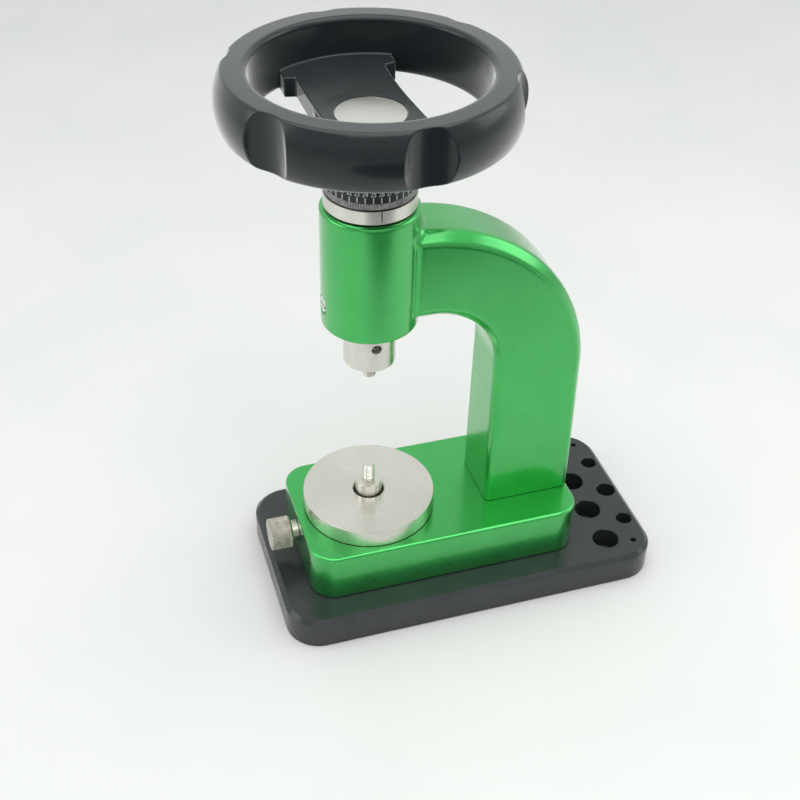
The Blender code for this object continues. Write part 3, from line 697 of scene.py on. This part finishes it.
def c_frame_field(x, y, z):
    back = round_corner(x, z, COLUMN_BACK, ARM_TOP, BACK_RADIUS)
    throat = round_corner(x, z, COLUMN_INNER, ARM_UNDERSIDE, THROAT_RADIUS)
    profile = np.maximum(np.maximum(back, -throat), ARM_START - x)
    leg = COLUMN_FOOT_EDGE + (ARM_EDGE - COLUMN_FOOT_EDGE) * between(z, 60.0, 185.0)
    arm = edge_chamfered(profile, np.abs(y) - ARM_HALF_WIDTH, leg)
    radius = np.sqrt(x ** 2 + y ** 2)
    middle, half = (HEAD_TOP + HEAD_BOTTOM) / 2, (HEAD_TOP - HEAD_BOTTOM) / 2
    edge = np.where(z > middle, HEAD_TOP_EDGE, HEAD_BOTTOM_EDGE)
    head = edge_rounded(radius - HEAD_RADIUS, np.abs(z - middle) - half, edge)
    fillet = SIDE_FILLET + (TOP_FILLET - SIDE_FILLET) * between(z, ARM_TOP - 7.0, ARM_TOP - 1.0)
    solid = smooth_min(arm, head, fillet)
    bore = BORE_RADIUS - radius + np.where(z > BORE_MOUTH_Z, BORE_MOUTH, 0.0)
    key_hole = np.minimum(KEY_HOLE_RADIUS - np.sqrt(y ** 2 + (z - KEY_SCREW_Z) ** 2), -x)
    return smooth_max(smooth_max(solid, bore, 0.4), key_hole, 0.6)


def c_frame():
    margin = 2.0
    low = (FRAME_LOW.x - margin, FRAME_LOW.y - margin, FRAME_LOW.z - margin)
    high = (FRAME_HIGH.x + margin, FRAME_HIGH.y + margin, FRAME_HIGH.z + margin)
    casting = surface_net("press_c_frame", c_frame_field, low, high, FRAME_STEP)
    trim_below(casting, FRAME_LOW.z)
    shade_from_field(casting, c_frame_field)
    return finish_piece(casting, GREEN, "frame", "c_frame")


def trim_below(piece, height):
    """Cut the mesh off flat at a height and close it."""
    shape = bmesh.new()
    shape.from_mesh(piece.data)
    everything = shape.verts[:] + shape.edges[:] + shape.faces[:]
    cut_made = bmesh.ops.bisect_plane(shape, geom=everything, plane_co=(0, 0, height * MM),
                                      plane_no=(0, 0, -1), clear_outer=True)
    rim = [item for item in cut_made["geom_cut"] if isinstance(item, bmesh.types.BMEdge)]
    bmesh.ops.edgeloop_fill(shape, edges=rim)
    bmesh.ops.recalc_face_normals(shape, faces=shape.faces)
    shape.to_mesh(piece.data)
    shape.free()


# ---------------------------------------------------------------- anvil, post and thumb screw

def thread_relief(pitch, depth, low, high, run_out=1.0):
    """A V thread between two heights, running out at its ends."""
    def relief(radius, angles, height):
        if not low <= height <= high:
            return np.full(len(angles), radius)
        phase = (height / pitch - angles / (2 * math.pi)) % 1.0
        groove = np.clip(1.25 - np.abs(phase * 2 - 1) * 1.7, 0.0, 1.0)
        fade = min(1.0, (height - low) / run_out + 0.15, (high - height) / run_out + 0.15)
        return radius - depth * groove * fade
    return relief


def heights(top, bottom, step):
    """Evenly spaced heights from the top down."""
    return np.linspace(top, bottom, int(round((top - bottom) / step)) + 1)


def anvil_disc():
    inner, outer = 7.6, DISC_HIGH.x
    low, high = DISC_LOW.z, DISC_HIGH.z
    profile = [(inner + 0.5, high), (outer - 0.5, high), (outer - 0.12, high - 0.12),
               (outer, high - 0.5), (outer, low + 0.5), (outer - 0.5, low), (inner, low),
               (inner, high - 0.5)]
    disc = lathe("press_anvil_disc", profile, 180)
    return finish_piece(shade(disc), NICKEL, "anvil", "anvil_disc")


def die_post():
    """Round post with an M6 stud standing on its end."""
    shoulder = 58.5
    stud, shank = 3.0, POST_HIGH.y
    relief = thread_relief(1.0, 0.4, shoulder + 0.8, POST_HIGH.z)
    top = [(0, POST_HIGH.z), (stud - 0.8, POST_HIGH.z), (stud - 0.1, POST_HIGH.z - 0.7)]
    thread = [(stud, height) for height in heights(POST_HIGH.z - 0.8, shoulder + 0.9, 0.1)]
    foot = [(stud - 0.4, shoulder + 0.6), (stud - 0.4, shoulder), (shank - 0.5, shoulder),
            (shank - 0.1, shoulder - 0.15), (shank, shoulder - 0.5), (shank, POST_LOW.z + 0.7),
            (shank - 0.7, POST_LOW.z), (0, POST_LOW.z)]
    post = lathe("press_die_post", top + thread + foot, 72, relief)
    return finish_piece(shade(post), NICKEL, "post", "die_post")


def upper_stud():
    """Stud that the upper dies screw onto, its thread down to a rounded tip."""
    seat, tip = RAM_LOW.z + 0.3, STUD_LOW.z
    stud, shank = 3.0, 4.0
    relief = thread_relief(1.0, 0.4, tip, seat - 0.8)
    top = [(0, STUD_HIGH.z), (shank - 0.5, STUD_HIGH.z), (shank, STUD_HIGH.z - 0.5),
           (shank, seat), (stud - 0.5, seat), (stud - 0.5, seat - 0.7)]
    thread = [(stud, height) for height in heights(seat - 0.9, tip + 1.0, 0.1)]
    end = [(stud - 0.35, tip + 0.7), (stud - 1.0, tip + 0.15), (stud - 1.4, tip), (0, tip)]
    piece = lathe("press_upper_stud", top + thread + end, 72, relief)
    return finish_piece(shade(piece), NICKEL, "stud_body", "upper_stud")


def diamond_knurl(count, depth, low, high, lead):
    """Two families of crossed grooves between two heights."""
    def relief(radius, angles, height):
        if not low <= height <= high:
            return np.full(len(angles), radius)
        turn = angles / (2 * math.pi) * count
        slant = height / lead * count
        groove = 0.0
        for phase in ((turn + slant) % 1.0, (turn - slant) % 1.0):
            groove = np.maximum(groove, 1.0 - np.minimum(phase, 1.0 - phase) / 0.32)
        return radius - depth * np.clip(groove, 0.0, 1.0)
    return relief


def thumb_screw():
    """The screw is turned upright and then laid along -X, its head outwards."""
    axis_z = (THUMB_LOW.z + THUMB_HIGH.z) / 2
    end, tip = -THUMB_LOW.x, -THUMB_HIGH.x
    head = end - 11.0
    radius = (THUMB_HIGH.z - THUMB_LOW.z) / 2
    neck_end = -BLOCK_LOW.x + 0.3
    knurl = diamond_knurl(40, 0.45, head + 0.85, end - 0.55, 50.0)
    face = [(0, end), (radius - 0.6, end), (radius - 0.5, end - 0.05), (radius, end - 0.5)]
    band = [(radius, height) for height in heights(end - 0.6, head + 0.9, 0.2)]
    body = [(radius, head + 0.8), (radius - 0.7, head), (5.2, head), (5.2, neck_end),
            (3.0, neck_end), (3.0, tip + 0.8), (2.2, tip), (0, tip)]
    screw = lathe("press_thumb_screw", face + band + body, 288, knurl)
    place(screw, (0, 0, axis_z), (-1, 0, 0))
    return finish_piece(shade(screw), NICKEL_KNURLED, "thumb", "thumb_screw")


# ---------------------------------------------------------------- ram and head hardware

def ram():
    radius, bore, nut_bore, screw_bore = RAM_HIGH.y, 4.3, 9.3, 7.6
    low, high = RAM_LOW.z, RAM_HIGH.z
    profile = [(nut_bore, high), (radius, high), (radius, low + 0.45), (radius - 0.12, low + 0.12),
               (radius - 0.45, low), (bore + 0.4, low), (bore, low + 0.4), (bore, 150.3),
               (screw_bore, 157.5), (screw_bore, 178.0), (nut_bore, 178.0)]
    body = lathe("press_ram", profile, 144)
    screw_z = (GRUB_LOW.z + GRUB_HIGH.z) / 2
    drill = lathe("set_screw_hole", [(0, 14), (4.4, 14), (2.35, radius - 0.25), (2.35, 3.5),
                                     (0, 3.5)], 48)
    keyway = box_piece("keyway", (-14, -2.2, 163.6), (-10.4, 2.2, 200.4))
    cut(body, place(drill, (0, 0, screw_z), (0, -1, 0)), keyway)
    return finish_piece(shade(body), NICKEL, "ram", "ram")


def chuck_screw():
    face, tip, radius = -GRUB_LOW.y, -GRUB_HIGH.y, (GRUB_HIGH.x - GRUB_LOW.x) / 2
    axis_z = (GRUB_LOW.z + GRUB_HIGH.z) / 2
    screw = lathe("press_chuck_screw", [(0, face), (radius - 0.3, face), (radius, face - 0.3),
                                        (radius, tip + 0.6), (radius - 0.6, tip), (0, tip)], 48)
    cut(screw, hex_rod("socket", 2.0, face - 2.0, face + 1))
    place(screw, (0, 0, axis_z), (0, -1, 0))
    return finish_piece(shade(screw), STEEL, "chuck_screw_body", "chuck_screw")


def key_screw():
    face, tip = -KEY_LOW.x, -KEY_HIGH.x
    radius = KEY_HIGH.y
    screw = lathe("press_key_screw", [(0, face), (radius - 0.5, face), (radius - 0.1, face - 0.2),
                                      (radius, face - 0.5), (radius, 14.3), (1.9, 14.3), (1.9, tip),
                                      (0, tip)], 64)
    cut(screw, box_piece("slot", (-9, -0.45, face - 1.3), (9, 0.45, face + 1)))
    turn = Matrix.Rotation(math.radians(90), 4, "Z")
    screw.data.transform(turn)
    place(screw, (0, 0, KEY_SCREW_Z), (-1, 0, 0))
    return finish_piece(shade(screw), NICKEL_PLAIN, "frame", "key_screw")


def ram_bush():
    low, high = cad_box("ram_bush")
    outer, inner = high.y, 12.3
    bush = lathe("press_ram_bush", softened([(inner, high.z), (outer, high.z), (outer, low.z),
                                             (inner, low.z)], 0.2), 128)
    return finish_piece(shade(bush), BRONZE, "frame", "ram_bush")


def head_collar():
    inner, spigot, flange = 8.3, 15.0, COLLAR_HIGH.y
    seat = HEAD_TOP + 0.6
    profile = [(inner, COLLAR_HIGH.z), (flange - 0.35, COLLAR_HIGH.z),
               (flange - 0.1, COLLAR_HIGH.z - 0.1), (flange, COLLAR_HIGH.z - 0.35),
               (flange, seat + 0.3), (flange - 0.3, seat), (spigot, seat), (spigot, COLLAR_LOW.z),
               (inner, COLLAR_LOW.z)]
    collar = lathe("press_head_collar", profile, 144)
    return finish_piece(shade(collar), NICKEL, "frame", "head_collar")


# ---------------------------------------------------------------- dial

DIAL_RADIUS, DIAL_BAND_RADIUS = 19.4, DIAL_HIGH.y
BAND_TOP = DIAL_LOW.z + 3.1
DIVISIONS = 36
KNURL_TEETH = 108
INDEX_ANGLE = -92.5
MARK_PROUD = 0.03
READ_AT_REST = 26


def wrapped(mesh, radius):
    """Wrap a flat mesh, drawn with Y up in its XY plane, round the dial."""
    for vertex in mesh.vertices:
        x, y, z = vertex.co
        angle = x / (radius * MM)
        reach = radius * MM + z
        vertex.co = (reach * math.cos(angle), reach * math.sin(angle), y)


def mark(name, width, low, high):
    """An upright stroke on the dial's or collar's side, before it is wrapped."""
    mesh = bpy.data.meshes.new(name)
    half = width / 2 * MM
    top, bottom = high * MM, low * MM
    mesh.from_pydata([(-half, bottom, 0), (half, bottom, 0), (half, top, 0), (-half, top, 0)], [],
                     [(0, 1, 2, 3)])
    return mesh


def numeral(text, height, narrow):
    """A numeral's mesh, centred and narrowed by a factor, before it is wrapped."""
    curve = bpy.data.curves.new("numeral", "FONT")
    curve.body = text
    curve.size = height * 1.38 * MM
    curve.align_x = "CENTER"
    curve.resolution_u = 3
    holder = bpy.data.objects.new("numeral", curve)
    bpy.context.scene.collection.objects.link(holder)
    evaluated = holder.evaluated_get(bpy.context.evaluated_depsgraph_get())
    mesh = bpy.data.meshes.new_from_object(evaluated)
    bpy.data.objects.remove(holder)
    mesh.transform(Matrix.Scale(narrow, 4, (1, 0, 0)))
    return mesh


def dial_ring():
    bore = 8.3
    low, high = DIAL_LOW.z, DIAL_HIGH.z
    band_relief = straight_knurl(low + 0.35, BAND_TOP - 0.35)
    band = [(DIAL_BAND_RADIUS, height) for height in heights(BAND_TOP - 0.4, low + 0.4, 0.3)]
    profile = [(bore, high), (DIAL_RADIUS - 0.5, high), (DIAL_RADIUS - 0.12, high - 0.12),
               (DIAL_RADIUS, high - 0.5), (DIAL_RADIUS, BAND_TOP),
               (DIAL_BAND_RADIUS - 0.2, BAND_TOP - 0.1)]
    profile += band + [(DIAL_BAND_RADIUS - 0.3, low), (bore, low)]
    ring = lathe("press_dial_ring", profile, KNURL_TEETH * 6, band_relief)
    shade(ring)
    finish_piece(ring, DIAL_BLACK, "dial", "dial_ring")
    ring.data.materials.append(DIAL_BAND)
    for face in ring.data.polygons:
        centre = face.center / MM
        outside = math.hypot(centre.x, centre.y) > DIAL_RADIUS - 0.6
        if outside and centre.z < BAND_TOP - 0.05:
            face.material_index = 1
    return ring


def straight_knurl(low, high):
    """Fine upright grooves on the dial's grip band."""
    def relief(radius, angles, height):
        if not low <= height <= high:
            return np.full(len(angles), radius)
        phase = (angles / (2 * math.pi) * KNURL_TEETH) % 1.0
        return radius - 0.22 * np.abs(phase * 2 - 1)
    return relief


def dial_graduations():
    """A stroke and a numeral at each division, joined into one mesh."""
    shape = bmesh.new()
    for division in range(DIVISIONS):
        stroke = mark("stroke", 0.45, BAND_TOP + 0.05, BAND_TOP + 2.5)
        figure = numeral(str(division), 2.7, 0.66)
        figure.transform(Matrix.Translation((0, (BAND_TOP + 3.1) * MM, 0)))
        step = 360 / DIVISIONS * (division - READ_AT_REST)
        turn = Matrix.Rotation(math.radians(INDEX_ANGLE + step), 4, "Z")
        for mesh in (stroke, figure):
            wrapped(mesh, DIAL_RADIUS + MARK_PROUD)
            mesh.transform(turn)
            shape.from_mesh(mesh)
            bpy.data.meshes.remove(mesh)
    made = bpy.data.meshes.new("press_dial_graduations")
    shape.to_mesh(made)
    shape.free()
    return finish_piece(add_piece("press_dial_graduations", made), DIAL_WHITE, "dial")


def index_line():
    stroke = mark("press_index_line", 0.5, COLLAR_HIGH.z - 5.0, COLLAR_HIGH.z - 0.1)
    wrapped(stroke, COLLAR_HIGH.y + MARK_PROUD)
    stroke.transform(Matrix.Rotation(math.radians(INDEX_ANGLE), 4, "Z"))
    return finish_piece(add_piece("press_index_line", stroke), INDEX_DARK, "frame")


# ---------------------------------------------------------------- handwheel

WHEEL_ANGLE = math.radians(4.7)
WHEEL_RADIUS = -WHEEL_LOW.x
WHEEL_TOP, WHEEL_UNDERSIDE = WHEEL_HIGH.z, 251.3
HUB_TOP, HUB_BOTTOM = 255.3, WHEEL_LOW.z
BULGE_RADIUS = 22.5
BULGE_Z = 262.9
RIM_INNER = 48.15
WEB_THICKNESS = 8.8
SPOKE_HALF, SHOULDER_HALF, SHOULDER_FROM = 19.8, 25.0, 35.5
SCALLOP_RADIUS, SCALLOP_DEPTH, LOBES = 15.0, 5.3, 6
WHEEL_STEP = 0.56


def rim_field(radius, z):
    """The rim's section: bulging outside, slightly tapered inside, flat top."""
    bulge = np.sqrt((radius - WHEEL_RADIUS + BULGE_RADIUS) ** 2 + (z - BULGE_Z) ** 2) - BULGE_RADIUS
    top = z - WHEEL_TOP
    inner = RIM_INNER + (z - 262.0) * 0.044 - radius
    bottom = WHEEL_UNDERSIDE - z
    return smooth_max(smooth_max(bulge, top, 0.9), smooth_max(inner, bottom, 2.5), 2.6)


def spoke_field(x, y, radius, z):
    """The flat web of two broad spokes, rising a little towards the rim."""
    slope = np.clip((radius - 20.0) / 27.7, 0.0, 1.2) ** 1.5
    top = HUB_TOP + 4.1 * slope
    bottom = top - WEB_THICKNESS
    strip = np.abs(x) - SPOKE_HALF
    shoulder = smooth_max(np.abs(x) - SHOULDER_HALF, SHOULDER_FROM - np.abs(y), 0.5)
    plan = smooth_max(smooth_min(strip, shoulder, 1.2), radius - RIM_INNER - 4.0, 1.0)
    return smooth_max(smooth_max(z - top, plan, 0.7), bottom - z, 0.8)


def hub_field(radius, z):
    side = radius - 21.6 - (z - 245.0) * 0.08
    return smooth_max(smooth_max(side, HUB_BOTTOM - z, 0.8), z - (HUB_TOP - 3.0), 1.0)


def handwheel_field(x, y, z):
    """The wheel in its own frame: spokes along Y."""
    radius = np.sqrt(x ** 2 + y ** 2)
    wheel = smooth_min(rim_field(radius, z), spoke_field(x, y, radius, z), 0.9)
    wheel = smooth_min(wheel, hub_field(radius, z), 2.5)
    reach = WHEEL_RADIUS + SCALLOP_RADIUS - SCALLOP_DEPTH
    for lobe in range(LOBES):
        angle = math.radians(-90 + 360 / LOBES * lobe)
        from_x, from_y = x - reach * math.cos(angle), y - reach * math.sin(angle)
        wheel = smooth_max(wheel, SCALLOP_RADIUS - np.sqrt(from_x ** 2 + from_y ** 2), 0.4)
    return wheel


def handwheel():
    reach = WHEEL_RADIUS + 1.5
    wheel = surface_net("press_handwheel", handwheel_field, (-reach, -reach, HUB_BOTTOM - 2),
                        (reach, reach, WHEEL_TOP + 2), WHEEL_STEP)
    seat = CAP_HIGH.x + 0.25
    well = lathe("hub_well", [(0, HUB_TOP + 3), (seat, HUB_TOP + 3), (seat, 253.0), (10.5, 253.0),
                              (10.5, 246.5), (7.3, 246.5), (7.3, 235.0), (0, 235.0)], 128)
    cut(wheel, well)
    shade_from_field(wheel, handwheel_field)
    wheel.data.transform(Matrix.Rotation(WHEEL_ANGLE, 4, "Z"))
    return finish_piece(wheel, WHEEL_BLACK, "wheel", "handwheel")


def hub_cap():
    radius, low, high = CAP_HIGH.x, CAP_LOW.z, CAP_HIGH.z
    profile = [(0, high), (radius - 0.4, high), (radius - 0.1, high - 0.1), (radius, high - 0.4),
               (radius, low), (0, low)]
    cap = lathe("press_hub_cap", profile, 128)
    return finish_piece(shade(cap), NICKEL_PLAIN, "wheel", "hub_cap")


# ---------------------------------------------------------------- floor, light and camera

AIM = (15.4, 0.0, 104.4)
AZIMUTH, ELEVATION, ROLL = -18.14, 38.58, 1.47
DISTANCE = 607.4
LENS, SENSOR = 57.19, 36.0
FLOOR_HALF_SIZE = 4.0
# Centre and fade distances of the painted dark patch on the floor, painted shade that the press
# reflects.
PAINTED_SHADE_CENTRE = (0.1, -0.76, 0)
PAINTED_SHADE_EDGE = (0.42, 0.50)


def camera():
    azimuth, elevation = math.radians(AZIMUTH), math.radians(ELEVATION)
    back = Vector((math.sin(azimuth) * math.cos(elevation),
                   -math.cos(azimuth) * math.cos(elevation), math.sin(elevation)))
    data = bpy.data.cameras.new("camera")
    data.lens = LENS
    data.sensor_width = SENSOR
    made = bpy.data.objects.new("camera", data)
    bpy.context.scene.collection.objects.link(made)
    turn = back.to_track_quat("Z", "Y").to_matrix() @ Matrix.Rotation(math.radians(ROLL), 3, "Z")
    made.matrix_world = Matrix.Translation((Vector(AIM) + back * DISTANCE) * MM) @ turn.to_4x4()
    bpy.context.scene.camera = made


def sheet_colour(look):
    """A white sheet that gives way to a painted dark patch below the main camera, out of view:
    painted shade, seen only in the press's reflections, that stands for the dim camera side.
    """
    near = look.node("ShaderNodeVectorMath", operation="DISTANCE")
    look.link(look.place, near.inputs[0])
    near.inputs[1].default_value = PAINTED_SHADE_CENTRE
    edge = look.node("ShaderNodeMapRange", interpolation_type="SMOOTHSTEP")
    edge.inputs["From Min"].default_value, edge.inputs["From Max"].default_value = PAINTED_SHADE_EDGE
    look.link(near.outputs["Value"], edge.inputs["Value"])
    white = look.ramp(look.noise(6, 3), (0.655, 0.665, 0.66), (0.69, 0.695, 0.69))
    mix = look.node("ShaderNodeMix", data_type="RGBA")
    # Colour of the painted dark patch: painted shade for the dim camera side.
    mix.inputs["A"].default_value = (0.05, 0.055, 0.07, 1.0)
    look.link(white, mix.inputs["B"])
    look.link(edge.outputs["Result"], mix.inputs["Factor"])
    return mix.outputs["Result"]


def floor():
    mesh = bpy.data.meshes.new("floor")
    size = FLOOR_HALF_SIZE
    mesh.from_pydata([(-size, -size, 0), (size, -size, 0), (size, size, 0), (-size, size, 0)], [],
                     [(0, 1, 2, 3)])
    made = add_piece("floor", mesh)
    look = Shader("floor_white", (0.67, 0.68, 0.675), 0.55)
    look.link(sheet_colour(look), look.shader.inputs["Base Color"])
    look.vary_roughness(look.noise(30, 3), 0.5, 0.62)
    made.data.materials.append(look.material)


def area_light(name, at, aim, size, power, colour=(1, 1, 1)):
    data = bpy.data.lights.new(name, "AREA")
    data.shape = "RECTANGLE"
    data.size, data.size_y = size
    data.energy = power
    data.color = colour
    made = bpy.data.objects.new(name, data)
    bpy.context.scene.collection.objects.link(made)
    made.location = at
    made.rotation_euler = (Vector(at) - Vector(aim)).to_track_quat("Z", "Y").to_euler()


def studio():
    """Surroundings that are bright above and behind, and dim on the camera's side."""
    world = bpy.data.worlds.new("studio")
    bpy.context.scene.world = world
    world.use_nodes = True
    nodes, links = world.node_tree.nodes, world.node_tree.links
    split = nodes.new("ShaderNodeSeparateXYZ")
    links.new(nodes.new("ShaderNodeTexCoord").outputs["Generated"], split.inputs["Vector"])
    shares = []
    for axis, low, high, least in (("Y", -0.7, 0.45, 0.75), ("Z", -0.3, 0.35, 0.5)):
        share = nodes.new("ShaderNodeMapRange")
        share.interpolation_type = "SMOOTHSTEP"
        share.inputs["From Min"].default_value = low
        share.inputs["From Max"].default_value = high
        share.inputs["To Min"].default_value = least
        links.new(split.outputs[axis], share.inputs["Value"])
        shares.append(share.outputs["Result"])
    both = nodes.new("ShaderNodeMath")
    both.operation = "MULTIPLY"
    for number, share in enumerate(shares):
        links.new(share, both.inputs[number])
    links.new(both.outputs["Value"], nodes["Background"].inputs["Strength"])
    nodes["Background"].inputs["Color"].default_value = (0.86, 0.88, 0.86, 1)


def lights():
    centre = (0.02, 0.0, 0.1)
    area_light("overhead", (0.0, -0.3, 1.0), (0.0, -0.3, 0.0), (1.1, 1.3), 8.5, (1.0, 0.995, 0.98))
    area_light("right", (1.2, -0.2, 0.7), centre, (0.7, 0.7), 2.5)
    area_light("left", (-1.3, 0.1, 0.7), centre, (0.8, 0.8), 3, (0.97, 0.985, 1.0))
    bpy.context.scene.view_settings.view_transform = "Standard"


# ---------------------------------------------------------------- assembly

def carried_over_nodes():
    """CAD nodes that stay as they are take this file's material for their slot."""
    for entry in frame["record"]["subparts"]:
        node = frame["nodes"][entry["node"]]
        node.data.materials.clear()
        node.data.materials.append(CAD_FINISH[entry["material_slot"]])


carried_over_nodes()
base_plate()
base_block()
plate_screws()
c_frame()
anvil_disc()
die_post()
thumb_screw()
ram()
chuck_screw()
key_screw()
upper_stud()
ram_bush()
head_collar()
dial_ring()
dial_graduations()
index_line()
handwheel()
hub_cap()
floor()
studio()
lights()
camera()
